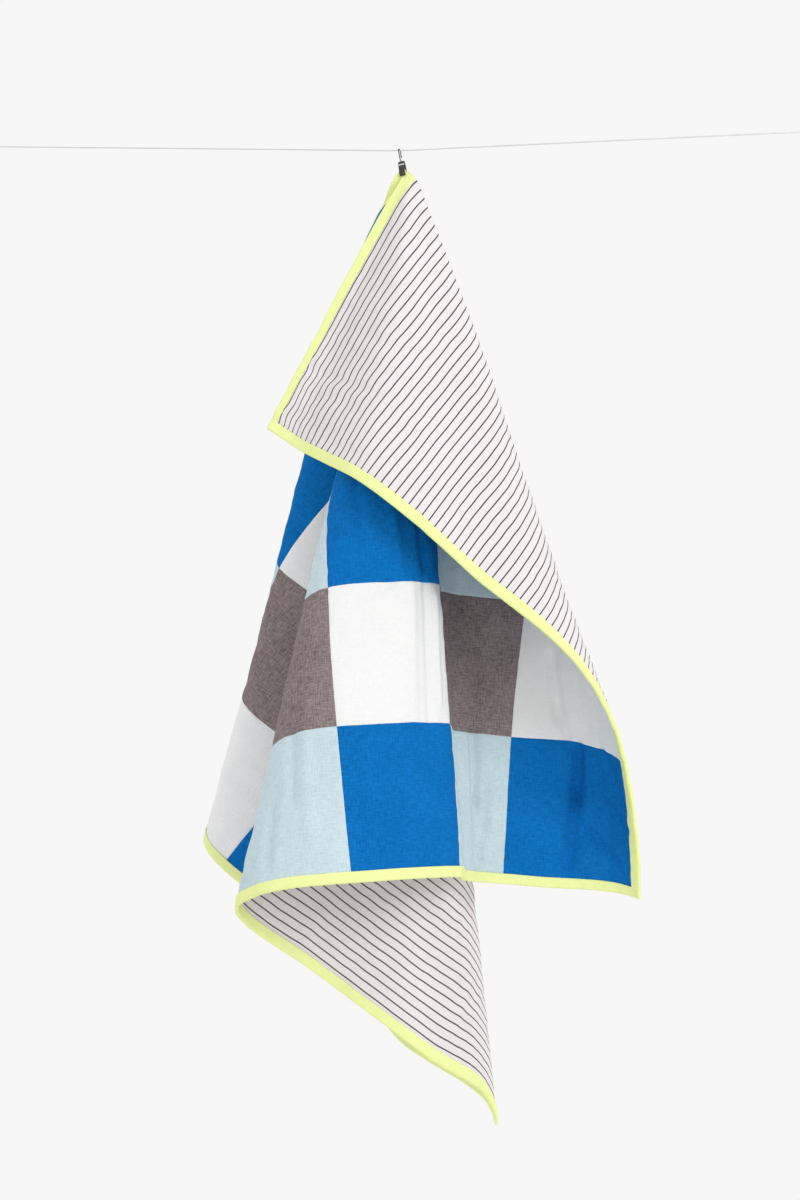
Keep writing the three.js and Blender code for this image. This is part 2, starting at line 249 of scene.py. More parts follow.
# The rolled barrel across the clip's front, which pivots its jaws, is drawn only here: its section as (radius,
# along), and where it lies, as (across, height).
BARREL = ((0, 0), (0.6, 0), (0.85, 0.25), (0.85, 7.55), (0.6, 7.8), (0, 7.8))
BARREL_PLACE = (-3, 3.4)
WIRE_DIAMETER = 1.5
WIRE_ROUTE = np.array((
    (-464.7, 23.6),
    (-450.7, 23.6),
    (-64.02, 19.9),
    (-4.02, 19.4),
    (55.98, 22.1),
    (444.7, 40),
    (458.7, 40),
))
WIRE_POINTS = 61
STUD_SECTION = (
    (0, 0), (8.6, 0), (9, 0.4), (9, 2.3), (8.8, 2.8), (8.3, 3), (4.1, 3), (3.6, 3.3), (3.5, 3.9),
    (3.5, 11.3), (3.3, 11.8), (2.8, 12), (1.3, 12), (1.05, 11.75), (1.05, 6), (0, 6),
)
STUD_SIDES = 64

# A slub is a thick place in a yarn, 8 to 20 mm long and under 1 mm wide. The yarns are drawn 1.3 mm wide, as
# wide as they need to show. The dye takes a little unevenly, in patches. A cloth's "spread" is how much lighter
# and darker its yarns are than its colour, its "slub" how softly they differ, and its "lift" the bump's height.
WEFT_SLUB = 10.5 * MM
WARP_SLUB = 9 * MM
YARN = 1.3 * MM
DYE_PATCH = 45 * MM
DYE_SHARE = 0.4
YARN_DETAIL = 2.0
DYE_DETAIL = 3.0
SLUB_LIFT = 0.02

# The checkerboard's cloths: the material, the property with its colour, and its spread. Even columns take the
# first two by turns, odd columns the others.
PATCH_CLOTHS = (
    ("blue_cotton_gauze", "blue", 0.22),
    ("white_cotton_gauze", "white", 0.03),
    ("light_blue_cotton_gauze", "pale", 0.1),
    ("taupe_cotton_gauze", "taupe", 0.45),
)

# The ticking: dark yarns pass over and under light ones every 0.8 mm, drawn every 2 mm so it shows, and look
# worn where they pass under. Three dotted ribs lie between two stripes. The blur is in stripe pitches.
OVER_AND_UNDER = 2 * MM
STRIPE_WORN = 0.88
STRIPE_BLUR = 0.015
RIBS = 3
DOT_FROM = 0.2
DOT_DARK = 0.16

# The steel's marks: the part of the noise that counts, how it shifts the roughness, and how dark a mark is.
MARK_RANGE = (0.3, 0.7)
MARK_GLOSS = (-0.08, 0.1)
MARK_SHADE = 0.85

# How dark the faint unevenness is that the roller leaves in the floor's paint.
ROLLER_SHADE = 0.97

# A Mix node's own numbers for its two colours and its colour result.
MIX_A, MIX_B, MIX_OUT = 6, 7, 2

# Cotton's own gloss is hidden among its loose fibres, so the shader's is turned down to this share.
LOOSE_FIBRE_GLOSS = 0.1

# The photograph's view, and the soft light from the upper right, in metres; the sensor and the lens are in
# millimetres.
PHOTO_VIEW = {"place": (-0.0033, -2.62, -0.4817), "sensor_height": 36, "lens": 70.5}
MAIN_LIGHT = {"place": (1.9, -2.3, 1.1), "aim": (0, 0, -0.5), "size": 1.5}

BODY = "root"


def linear(hex_colour):
    """An sRGB hex colour as a linear RGB tuple."""
    shares = [int(hex_colour[i:i + 2], 16) / 255 for i in (1, 3, 5)]
    return tuple(c / 12.92 if c <= 0.04045 else ((c + 0.055) / 1.055) ** 2.4 for c in shares)


def through(at, values, where):
    """Smooth curves through the rows of a table, read at an array of places."""
    slopes = np.empty_like(values)
    slopes[1:-1] = (values[2:] - values[:-2]) / (at[2:] - at[:-2])[:, None]
    slopes[0] = (values[1] - values[0]) / (at[1] - at[0])
    slopes[-1] = (values[-1] - values[-2]) / (at[-1] - at[-2])
    i = np.clip(np.searchsorted(at, where, side="right") - 1, 0, len(at) - 2)
    step = (at[i + 1] - at[i])[..., None]
    t = (where[..., None] - at[i][..., None]) / step
    hold = 2 * t**3 - 3 * t**2 + 1
    return (
        hold * values[i]
        + (1 - hold) * values[i + 1]
        + (t**3 - 2 * t**2 + t) * step * slopes[i]
        + (t**3 - t**2) * step * slopes[i + 1]
    )


def noise(x, y, seed):
    """Smooth uneven values from -1 to 1, one lump to each unit."""
    i, j = np.floor(x), np.floor(y)
    s, t = x - i, y - j
    s, t = s * s * (3 - 2 * s), t * t * (3 - 2 * t)

    # The usual sine hash, so every run gives the same lumps.
    def lump(a, b):
        mixed = np.sin(a * 127.1 + b * 311.7 + seed * 74.7) * 43758.5453
        return 2 * (mixed - np.floor(mixed)) - 1

    low = lump(i, j) * (1 - s) + lump(i + 1, j) * s
    high = lump(i, j + 1) * (1 - s) + lump(i + 1, j + 1) * s
    return low * (1 - t) + high * t


def ease(x):
    """From 0 to 1 without corners, for x from 0 to 1."""
    x = np.clip(x, 0, 1)
    return x * x * (3 - 2 * x)


def bulge(r, peak):
    """A bulge that peaks at one distance from the clip and dies away below it."""
    return (r / peak) * np.exp(1 - r / peak)


def openness(r):
    """How far the pleats have opened from the clip's grip, 0 to 1."""
    return r**2 / (r**2 + PINCH_RADIUS**2)


def from_clip(u, v):
    return np.hypot(u - CLIP_FROM_CORNER, LENGTH - v)


def hang(u, v):
    """Where points of the flat cloth's middle hang, before it crinkles."""
    r = from_clip(u, v)
    around = np.degrees(np.abs(np.arctan2(LENGTH - v, CLIP_FROM_CORNER - u)))
    fold = dict(zip(FOLD_COLUMNS[1:], np.moveaxis(through(FOLDS[:, 0], FOLDS[:, 1:], around), -1, 0)))
    sway, lean = np.radians(fold["sway"]), np.radians(fold["lean"])
    reach = r * (1 - fold["drawn_in"] / 100 * ease(r / DRAWN_IN_AT)) * np.cos(lean)
    return np.stack((
        reach * np.sin(sway) + fold["belly"] * MM * bulge(r, BELLY_AT)
        + fold["shoulder"] * MM * bulge(r, SHOULDER_AT),
        (r * np.sin(lean) + BELLY_PER_LEAN * fold["lean"] * bulge(r, BELLY_AT)) * openness(r),
        -reach * np.cos(sway),
    ), axis=-1)


def creases(u, v):
    """How far the main creases move the cloth."""
    moved = np.zeros_like(u)
    for row in CREASES * MM:
        crease = dict(zip(CREASE_COLUMNS, row))
        from_u, from_v = u - crease["u0"], v - crease["v0"]
        along = np.array((crease["u1"] - crease["u0"], crease["v1"] - crease["v0"]))
        run = np.hypot(*along)
        along /= run
        s = from_u * along[0] + from_v * along[1]
        beside = from_u * along[1] - from_v * along[0]
        past = np.maximum(0, np.maximum(-s, s - run))
        across = (beside / crease["reach"]) ** 2
        moved += crease["depth"] * np.exp(-across - (past / (2 * crease["reach"])) ** 2)
    return moved


def waves(u, v, table):
    """The sum of a table's waves."""
    total = 0
    for row in table:
        wave = dict(zip(WAVE_COLUMNS, row))
        lumps = noise(u / (wave["along_u"] * MM), v / (wave["along_v"] * MM), wave["seed"])
        total = total + wave["share"] * lumps
    return total


def relief(u, v, look):
    """How far the cloth stands off its smooth folds, towards the patchwork side, in metres."""
    limp = 1 + LIMP_CRINKLE * ease(1 - np.hypot(u, v - LENGTH) / LIMP_CRINKLE_REACH)
    moved = look.slack_depth * waves(u, v, SLACK_WAVES)
    moved += look.crinkle_depth * limp * waves(u, v, GAUZE_WAVES)
    moved += look.crease_strength * creases(u, v)
    return moved * ease((from_clip(u, v) - SMOOTH_TO) / (UNEVEN_FROM - SMOOTH_TO))


def drift(u, v):
    """How far the yarns run off their straight lines, in metres along u and v: most near the flap's corner."""
    limp = ease(LIMP_YARNS_EDGE - np.hypot(u / LIMP_YARNS_U, (v - LENGTH) / LIMP_YARNS_V))
    off_v = waves(u, v, YARN_WAVES_V) + limp * waves(u, v, LIMP_YARN_WAVES_V)
    return np.stack((waves(u, v, YARN_WAVES_U), off_v), axis=-1) * MM


def drape(u, v, off, look):
    """Where points of the cloth hang, each "off" its middle; the cloth is pressed thin at the clip."""
    v_in = np.minimum(v, LENGTH - SLOPE_REACH)
    du = hang(u + SLOPE_REACH, v_in) - hang(u - SLOPE_REACH, v_in)
    dv = hang(u, v_in + SLOPE_REACH) - hang(u, v_in - SLOPE_REACH)
    outwards = np.cross(dv, du)
    outwards /= np.linalg.norm(outwards, axis=-1, keepdims=True)
    r = from_clip(u, v)
    pressed = np.minimum(1, r / FULL_THICKNESS_AT) * openness(r)
    return hang(u, v) + outwards * (off * pressed + relief(u, v, look))[..., None]


def add_object(name, data, slot, *nodes):
    """Puts a piece in the scene, on the body, in place of the solids that it stands for."""
    made = bpy.data.objects.new(name, data)
    bpy.context.scene.collection.objects.link(made)
    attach(made, BODY)
    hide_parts(*nodes)
    return made


def mesh_of(name, points, faces, materials, uv=None):
    """A smooth mesh from points and faces, with its place in the flat cloth as a UV map."""
    mesh = bpy.data.meshes.new(name)
    mesh.from_pydata(points, [], faces)
    mesh.polygons.foreach_set("use_smooth", [True] * len(mesh.polygons))
    for material in materials:
        mesh.materials.append(material)
    if uv is not None:
        corners = np.empty(len(mesh.loops), dtype=np.int32)
        mesh.loops.foreach_get("vertex_index", corners)
        layer = mesh.uv_layers.new(name="cloth")
        layer.uv.foreach_set("vector", uv[corners].ravel())
    mesh.validate()
    return mesh


def rings(ids, closed):
    """Faces between rows of point numbers; each row is a closed ring, and so are the rows if "closed"."""
    rows = np.vstack((ids, ids[:1])) if closed else ids
    turned = np.roll(rows, -1, axis=1)
    return np.stack((rows[:-1], turned[:-1], turned[1:], rows[1:]), axis=-1).reshape(-1, 4).tolist()


def net_lines(length, squares, clip_at):
    """Lines of the net that bunch up at each seam and near the clip."""
    seams = TAPE_WIDTH + SQUARE * np.arange(1, squares)
    lines = [np.linspace(TUCK, length - TUCK, round(length / NET_STEP))]
    lines += [np.concatenate((s - BESIDE_SEAM[::-1], (s,), s + BESIDE_SEAM)) for s in seams]
    lines.append(clip_at + np.arange(-CLIP_ZONE, CLIP_ZONE, NET_STEP_AT_CLIP))
    every = np.unique(np.clip(np.concatenate(lines), TUCK, length - TUCK))
    kept = [every[0]]
    for line in every[1:-1]:
        on_seam = np.abs(line - seams).min() < 1e-6
        if on_seam and line - kept[-1] < NET_STEP_LEAST:
            kept[-1] = line
        elif line - kept[-1] > NET_STEP_LEAST:
            kept.append(line)
    return np.array((*kept, every[-1]))


def open_net(off, look, seam=None):
    """One side's cloth as a thin sheet on the net of lines that both sides share, so they stay apart."""
    u, v = np.meshgrid(
        net_lines(WIDTH, COLUMNS, CLIP_FROM_CORNER), net_lines(LENGTH, ROWS, LENGTH), indexing="ij")
    # In the clip's tight pleats the panels end deeper under the tape; the lines below move up with their rim.
    rim = LENGTH - TUCK - CLIP_TUCK * np.exp(-(((u - CLIP_FROM_CORNER) / CLIP_ZONE) ** 2))
    low = LENGTH - 2 * CLIP_ZONE
    v = np.where(v > low, low + (v - low) * (rim - low) / (LENGTH - TUCK - low), v)
    height = np.full_like(u, off) if seam is None else off + seam(u, v)
    points = drape(u, v, height, look).reshape(-1, 3)
    ids = np.arange(u.size).reshape(u.shape)
    faces = np.stack((ids[:-1, :-1], ids[:-1, 1:], ids[1:, 1:], ids[1:, :-1]), axis=-1).reshape(-1, 4)
    if off < 0:
        faces = faces[:, (0, 3, 2, 1)]
    return points, faces.tolist(), np.stack((u, v), axis=-1).reshape(-1, 2)


def seam_dip(u, v):
    """The drawn-in line and the puckers at the seams between the squares."""
    dip = np.zeros_like(u)
    for across, along, squares in ((u, v, COLUMNS), (v, u, ROWS)):
        nearest = np.clip(np.round((across - TAPE_WIDTH) / SQUARE), 1, squares - 1)
        away = across - TAPE_WIDTH - nearest * SQUARE
        pucker = SEAM["pucker"] * noise(along / SEAM["pucker_apart"], nearest * SEAM_SHIFT, SEAM_SEED)
        dip -= SEAM["dip"] * np.exp(-((away / SEAM["reach"]) ** 2))
        dip += pucker * np.exp(-((away / SEAM["pucker_reach"]) ** 2))
    return dip


def add(tree, kind, inputs=None, **settings):
    """Adds a node: settings are its own, inputs go to its sockets as values or as links from sockets."""
    made = tree.nodes.new("ShaderNode" + kind)
    for name, value in settings.items():
        setattr(made, name, value)
    for name, value in (inputs or {}).items():
        if isinstance(value, bpy.types.NodeSocket):
            tree.links.new(value, made.inputs[name])
        else:
            made.inputs[name].default_value = value
    return made


def new_material(name, colour, roughness, metallic=0.0):
    """A material with a Principled shader, and the tree and shader to build on."""
    material = bpy.data.materials.new(name)
    material.use_nodes = True
    tree = material.node_tree
    tree.nodes.clear()
    shader = add(tree, "BsdfPrincipled", {
        "Base Color": (*colour, 1), "Roughness": roughness, "Metallic": metallic,
    })
    add(tree, "OutputMaterial", {"Surface": shader.outputs[0]})
    return material, tree, shader


def woven(tree, shader, colour, spread, slub, lift):
    """Yarns on the flat cloth's own map, thick and thin both ways: sets their bump and gives their colour."""
    uv = add(tree, "UVMap", uv_map="cloth").outputs[0]
    noises = []
    for apart_u, apart_v, detail in (
        (WEFT_SLUB, YARN, YARN_DETAIL), (YARN, WARP_SLUB, YARN_DETAIL), (DYE_PATCH, DYE_PATCH, DYE_DETAIL),
    ):
        place = add(tree, "Mapping", {"Vector": uv, "Scale": (1 / apart_u, 1 / apart_v, 1)}).outputs[0]
        noises.append(add(tree, "TexNoise", {
            "Vector": place, "Scale": 1.0, "Detail": detail,
        }, noise_dimensions="2D").outputs[0])
    weft, warp, cloud = noises
    yarns = add(tree, "Math", {0: weft, 1: warp}, operation="ADD").outputs[0]
    uneven = add(tree, "Math", {0: cloud, 1: DYE_SHARE, 2: yarns}, operation="MULTIPLY_ADD").outputs[0]
    middle = (2 + DYE_SHARE) / 2
    share = add(tree, "MapRange", {
        "Value": uneven, "From Min": middle - slub, "From Max": middle + slub,
    }).outputs[0]
    darker = tuple(c * (1 - spread) for c in colour)
    lighter = tuple(min(1, c * (1 + spread) + SLUB_LIFT * spread) for c in colour)
    mixed = add(tree, "Mix", {
        "Factor": share, MIX_A: (*darker, 1), MIX_B: (*lighter, 1),
    }, data_type="RGBA").outputs[MIX_OUT]
    bump = add(tree, "Bump", {"Strength": 1.0, "Distance": lift, "Height": yarns}).outputs[0]
    tree.links.new(bump, shader.inputs["Normal"])
    shader.inputs["Specular IOR Level"].default_value = LOOSE_FIBRE_GLOSS
    return mixed


def gauze(name, colour, look, spread):
    """Double gauze, a soft plain weave of washed cotton: matt, with lighter and darker slubs."""
    material, tree, shader = new_material(name, colour, roughness=0.9)
    mixed = woven(tree, shader, colour, spread * look.yarn_contrast, slub=0.4, lift=0.3 * MM)
    tree.links.new(mixed, shader.inputs["Base Color"])
    return material


def ticking(look):
    """Yarn-dyed cotton ticking: thin dark stripes in an off-white ground, with fine dotted ribs between."""
    material, tree, shader = new_material("yarn_dyed_ticking", look.ticking, roughness=0.9)
    ground = woven(tree, shader, look.ticking, spread=0.05, slub=0.5, lift=0.25 * MM)
    uv = add(tree, "UVMap", uv_map="cloth").outputs[0]
    place = add(tree, "SeparateXYZ", {"Vector": uv}).outputs
    first = look.stripe_inset - look.stripe_pitch / 2
    start = add(tree, "Math", {0: place[1], 1: first}, operation="SUBTRACT").outputs[0]
    count = add(tree, "Math", {0: start, 1: look.stripe_pitch}, operation="DIVIDE").outputs[0]
    share = add(tree, "Math", {0: count}, operation="FRACT").outputs[0]
    away = add(tree, "Math", {0: share, 1: 0.5}, operation="SUBTRACT").outputs[0]
    away = add(tree, "Math", {0: away}, operation="ABSOLUTE").outputs[0]
    edge = look.stripe_width / look.stripe_pitch / 2
    stripe = add(tree, "MapRange", {
        "Value": away, "From Min": edge + STRIPE_BLUR, "From Max": edge - STRIPE_BLUR,
    }).outputs[0]
    beat = add(tree, "Math", {0: place[0], 1: 2 * math.pi / OVER_AND_UNDER}, operation="MULTIPLY").outputs[0]
    beat = add(tree, "Math", {0: beat}, operation="SINE").outputs[0]
    worn = add(tree, "MapRange", {"Value": beat, "From Min": -1.0, "To Min": STRIPE_WORN}).outputs[0]
    stripe = add(tree, "Math", {0: stripe, 1: worn}, operation="MULTIPLY").outputs[0]
    rib = add(tree, "Math", {0: share, 1: 2 * math.pi * (RIBS + 1)}, operation="MULTIPLY").outputs[0]
    rib = add(tree, "Math", {0: rib}, operation="COSINE").outputs[0]
    dots = add(tree, "Math", {0: rib, 1: beat}, operation="MULTIPLY").outputs[0]
    dots = add(tree, "MapRange", {"Value": dots, "From Min": DOT_FROM, "To Max": DOT_DARK}).outputs[0]
    dark = (*look.stripe, 1)
    dotted = add(tree, "Mix", {"Factor": dots, MIX_A: ground, MIX_B: dark}, data_type="RGBA").outputs[MIX_OUT]
    mixed = add(tree, "Mix", {"Factor": stripe, MIX_A: dotted, MIX_B: dark}, data_type="RGBA").outputs[MIX_OUT]
    tree.links.new(mixed, shader.inputs["Base Color"])
    return material


def tape_cloth(look):
    """Cotton binding tape dyed a fluorescent lime: plain and close, so it shows colour more than weave."""
    material, tree, shader = new_material("lime_cotton_tape", look.tape, roughness=0.85)
    mixed = woven(tree, shader, look.tape, spread=0.05, slub=0.5, lift=0.15 * MM)
    tree.links.new(mixed, shader.inputs["Base Color"])
    return material


def metal(name, colour, roughness, marks_apart):
    """Plain or plated steel: drawing or rolling marks, so far apart along each axis, make its gloss uneven."""
    material, tree, shader = new_material(name, colour, roughness, metallic=1.0)
    place = add(tree, "TexCoord").outputs["Object"]
    marks = add(tree, "Mapping", {"Vector": place, "Scale": [1 / apart for apart in marks_apart]}).outputs[0]
    marks = add(tree, "TexNoise", {"Vector": marks, "Scale": 1.0, "Detail": 3.0}).outputs[0]
    rough = add(tree, "MapRange", {
        "Value": marks, "From Min": MARK_RANGE[0], "From Max": MARK_RANGE[1],
        "To Min": roughness + MARK_GLOSS[0], "To Max": roughness + MARK_GLOSS[1],
    }).outputs[0]
    tree.links.new(rough, shader.inputs["Roughness"])
    darker = tuple(MARK_SHADE * c for c in colour)
    mixed = add(tree, "Mix", {
        "Factor": marks, MIX_A: (*darker, 1), MIX_B: (*colour, 1),
    }, data_type="RGBA").outputs[MIX_OUT]
    tree.links.new(mixed, shader.inputs["Base Color"])
    return material


def turned(section, sides, axis):
    """A turned piece: a section of (radius, along) in millimetres swept round an axis along X."""
    places = np.array(section, dtype=float) * MM
    angles = 2 * np.pi * np.arange(sides) / sides
    radius, along = places[1:-1, 0], places[1:-1, 1]
    ring = np.stack((
        np.broadcast_to(axis * along[:, None], (len(along), sides)),
        radius[:, None] * np.cos(angles),
        radius[:, None] * np.sin(angles),
    ), axis=-1)
    points = np.concatenate((ring.reshape(-1, 3), [[axis * places[0, 1], 0, 0], [axis * places[-1, 1], 0, 0]]))
    ids = np.arange(ring.shape[0] * sides).reshape(-1, sides)
    faces = rings(ids, False)
    first, last = len(points) - 2, len(points) - 1
    for k in range(sides):
        after = (k + 1) % sides
        faces.append([first, int(ids[0, after]), int(ids[0, k])])
        faces.append([last, int(ids[-1, k]), int(ids[-1, after])])
    if axis > 0:
        faces = [face[::-1] for face in faces]
    return points, faces


def clip_place(points):
    """Turns points of the clip, in millimetres, to where it hangs."""
    yaw, tilt = math.radians(CLIP["yaw"]), math.radians(CLIP["tilt"])
    spin = np.array((
        (math.cos(yaw), -math.sin(yaw), 0), (math.sin(yaw), math.cos(yaw), 0), (0, 0, 1),
    ))
    lean = np.array((
        (math.cos(tilt), 0, math.sin(tilt)), (0, 1, 0), (-math.sin(tilt), 0, math.cos(tilt)),
    ))
    return (points @ (lean @ spin).T + np.array((CLIP["x"], 0, 0))) * MM


def strip_middle():
    """The bent strip's middle line, as (across, height), from one jaw over the top to the other."""
    top = CLIP["top"] - CLIP["top_half"] - CLIP["sheet"] / 2
    angles = np.radians(np.arange(0, 181, BEND_STEP))
    bend = np.stack((CLIP["top_half"] * np.cos(angles), top + CLIP["top_half"] * np.sin(angles)), axis=-1)
    return np.vstack((JAW_LINE, bend, JAW_LINE[::-1] * (-1, 1)))


def strip_mesh():
    """The clip's strip with rounded edges: a rounded section swept along its middle line."""
    line = strip_middle()
    along = np.gradient(line, axis=0)
    along /= np.linalg.norm(along, axis=1, keepdims=True)
    side = np.stack((-along[:, 1], along[:, 0]), axis=-1)
    half, thick, round_off = CLIP["width"] / 2, CLIP["sheet"] / 2, CLIP["round_off"]
    section = np.array((
        (-half + round_off, -thick), (half - round_off, -thick), (half, -thick + round_off),
        (half, thick - round_off), (half - round_off, thick), (-half + round_off, thick),
        (-half, thick - round_off), (-half, -thick + round_off),
    ))
    points = []
    for place, across in zip(line, side):
        for width, off in section:
            y, z = place + across * off
            points.append((width, y, z))
    ids = np.arange(len(points)).reshape(len(line), len(section))
    faces = rings(ids, False)
    faces.append(ids[0].tolist())
    faces.append(ids[-1, ::-1].tolist())
    return clip_place(np.array(points)), faces


def tube(points, radius, sides):
    """A round wire along points in one YZ plane, with closed ends."""
    along = np.gradient(points, axis=0)
    along /= np.linalg.norm(along, axis=1, keepdims=True)
    flat = np.array((1.0, 0, 0))
    up = np.cross(along, flat)
    angles = 2 * np.pi * np.arange(sides) / sides
    ring = points[:, None] + radius * (
        np.cos(angles)[None, :, None] * flat + np.sin(angles)[None, :, None] * up[:, None]
    )
    ids = np.arange(len(points) * sides).reshape(len(points), sides)
    faces = rings(ids, False)
    faces.append(ids[0, ::-1].tolist())
    faces.append(ids[-1].tolist())
    return ring.reshape(-1, 3), faces


class THROW_PG_cloth(bpy.types.PropertyGroup):
    """The blanket's cloths."""

    blue: FloatVectorProperty(
        name="Blue", description="Colour of the strong blue squares", subtype="COLOR",
        size=3, min=0, max=1, default=linear("#006CB6"))
    pale: FloatVectorProperty(
        name="Light blue", description="Colour of the light blue squares", subtype="COLOR",
        size=3, min=0, max=1, default=linear("#C5D8DE"))
    white: FloatVectorProperty(
        name="White", description="Colour of the white squares", subtype="COLOR",
        size=3, min=0, max=1, default=linear("#EDEDED"))
    taupe: FloatVectorProperty(
        name="Taupe", description="Colour of the dark squares", subtype="COLOR",
        size=3, min=0, max=1, default=linear("#857878"))
    ticking: FloatVectorProperty(
        name="Ticking", description="Ground colour of the striped side", subtype="COLOR",
        size=3, min=0, max=1, default=linear("#E9E3E4"))
    stripe: FloatVectorProperty(
        name="Stripe", description="Colour of the stripes", subtype="COLOR",
        size=3, min=0, max=1, default=linear("#3C2D3C"))
    tape: FloatVectorProperty(
        name="Tape", description="Colour of the binding", subtype="COLOR",
        size=3, min=0, max=1, default=linear("#ECF5A6"))
    stripe_pitch: FloatProperty(
        name="Stripe pitch", description="From the middle of one stripe to the next", unit="LENGTH",
        default=9.35 * MM, min=2 * MM)
    stripe_width: FloatProperty(
        name="Stripe width", description="Width of a stripe", unit="LENGTH", default=1.55 * MM, min=0.2 * MM)
    stripe_inset: FloatProperty(
        name="First stripe", description="From the long edge to the first stripe", unit="LENGTH",
        default=16.3 * MM, min=0)
    yarn_contrast: FloatProperty(
        name="Yarn contrast", description="How strongly the yarns of one cloth differ", default=1, min=0, max=2)
    slack_depth: FloatProperty(
        name="Slack", description="Depth of the cloth's broad unevenness", unit="LENGTH", default=2 * MM, min=0)
    crinkle_depth: FloatProperty(
        name="Crinkle", description="Depth of the washed gauze's crinkle", unit="LENGTH",
        default=0.65 * MM, min=0)
    crease_strength: FloatProperty(
        name="Creases", description="Strength of the main creases", default=3.5, min=0, max=5)


class THROW_PG_metal(bpy.types.PropertyGroup):
    """The clip, the wire and its studs."""

    # The clip's colour is darker than its plated steel: painted dark reflections.
    clip: FloatVectorProperty(
        name="Clip", description="Colour of the clip's dark plated steel", subtype="COLOR",
        size=3, min=0, max=1, default=linear("#54504D"))
    # The hook's colour is darker than its steel: painted dark reflections.
    hook: FloatVectorProperty(
        name="Hook", description="Colour of the clip's blackened hook", subtype="COLOR",
        size=3, min=0, max=1, default=linear("#5C5A58"))
    bright: FloatVectorProperty(
        name="Wire", description="Colour of the wire and the studs", subtype="COLOR",
        size=3, min=0, max=1, default=linear("#E4E4E2"))
    sides: IntProperty(name="Wire sides", description="Sides of the round wires", default=16, min=6, max=48)


class THROW_PG_stage(bpy.types.PropertyGroup):
    """The floor and the light."""

    floor: FloatVectorProperty(
        name="Floor", description="Colour of the floor", subtype="COLOR",
        size=3, min=0, max=1, default=linear("#F2F1EF"))
    floor_height: FloatProperty(
        name="Floor height", description="Height of the floor from the clip's grip", unit="LENGTH",
        default=-1.62)
    floor_half: FloatProperty(
        name="Floor half width", description="From the middle of the floor to its edges", unit="LENGTH",
        default=1.7, min=0.5)
    room: FloatProperty(
        name="Room light", description="Strength of the even light all round", default=0.93, min=0)
    key: FloatProperty(
        name="Main light", description="Power of the soft light from the upper right", unit="POWER",
        default=30, min=0)


class THROW_OT_stage(bpy.types.Operator):
    """Lay the floor, set the camera at the photograph's view and light the scene evenly"""

    bl_idname = "throw.stage"
    bl_label = "Stage"

    def execute(self, context):
        look = context.scene.throw_stage
        camera = bpy.data.cameras.new("photo_camera")
        camera.sensor_fit = "VERTICAL"
        camera.sensor_height = PHOTO_VIEW["sensor_height"]
        camera.lens = PHOTO_VIEW["lens"]
        holder = bpy.data.objects.new("photo_camera", camera)
        holder.location = PHOTO_VIEW["place"]
        holder.rotation_euler = (math.pi / 2, 0, 0)
        context.scene.collection.objects.link(holder)
        context.scene.camera = holder

        # Painted board: matt, with a faint unevenness from the roller.
        material, tree, shader = new_material("painted_board", look.floor, roughness=0.85)
        place = add(tree, "TexCoord").outputs["Object"]
        patches = add(tree, "TexNoise", {"Vector": place, "Scale": 6.0, "Detail": 4.0}).outputs[0]
        darker = tuple(ROLLER_SHADE * c for c in look.floor)
        mixed = add(tree, "Mix", {
            "Factor": patches, MIX_A: (*darker, 1), MIX_B: (*look.floor, 1),
        }, data_type="RGBA").outputs[MIX_OUT]
        tree.links.new(mixed, shader.inputs["Base Color"])
        h = look.floor_half
        corners = [(x * h, y * h, look.floor_height) for x, y in ((-1, -1), (1, -1), (1, 1), (-1, 1))]
        mesh = mesh_of("floor", corners, [(0, 1, 2, 3)], [material])
        floor = bpy.data.objects.new("floor", mesh)
        context.scene.collection.objects.link(floor)

        world = bpy.data.worlds.new("white_room")
        world.use_nodes = True
        background = world.node_tree.nodes["Background"]
        background.inputs["Color"].default_value = (1, 1, 1, 1)
        background.inputs["Strength"].default_value = look.room
        context.scene.world = world

        light = bpy.data.lights.new("main_light", "AREA")
        light.shape = "SQUARE"
        light.size = MAIN_LIGHT["size"]
        light.energy = look.key
        lamp = bpy.data.objects.new("main_light", light)
        lamp.location = MAIN_LIGHT["place"]
        aim = Vector(MAIN_LIGHT["aim"]) - lamp.location
        lamp.rotation_euler = aim.to_track_quat("-Z", "Y").to_euler()
        context.scene.collection.objects.link(lamp)
        context.scene.view_settings.view_transform = "Standard"
        return {"FINISHED"}


class THROW_OT_studs(bpy.types.Operator):
    """Turn the two studs that hold the wire's ends"""

    bl_idname = "throw.studs"
    bl_label = "Wire studs"

    def execute(self, context):
        look = context.scene.throw_metal
        steel = metal("turned_steel", look.bright, roughness=0.3, marks_apart=(1.1 * MM, 17 * MM, 17 * MM))
        for name, node, axis, end in (
            ("stud_left", "wire_stud_left", 1, WIRE_ROUTE[0]),
            ("stud_right", "wire_stud_right", -1, WIRE_ROUTE[-1]),
        ):
            points, faces = turned(STUD_SECTION, STUD_SIDES, axis)
            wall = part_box(node)[0][0] if axis > 0 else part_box(node)[1][0]
            points = points + (wall, 0, end[1] * MM)
            add_object(name, mesh_of(name, points, faces, [steel]), "stud_steel", node)
        return {"FINISHED"}


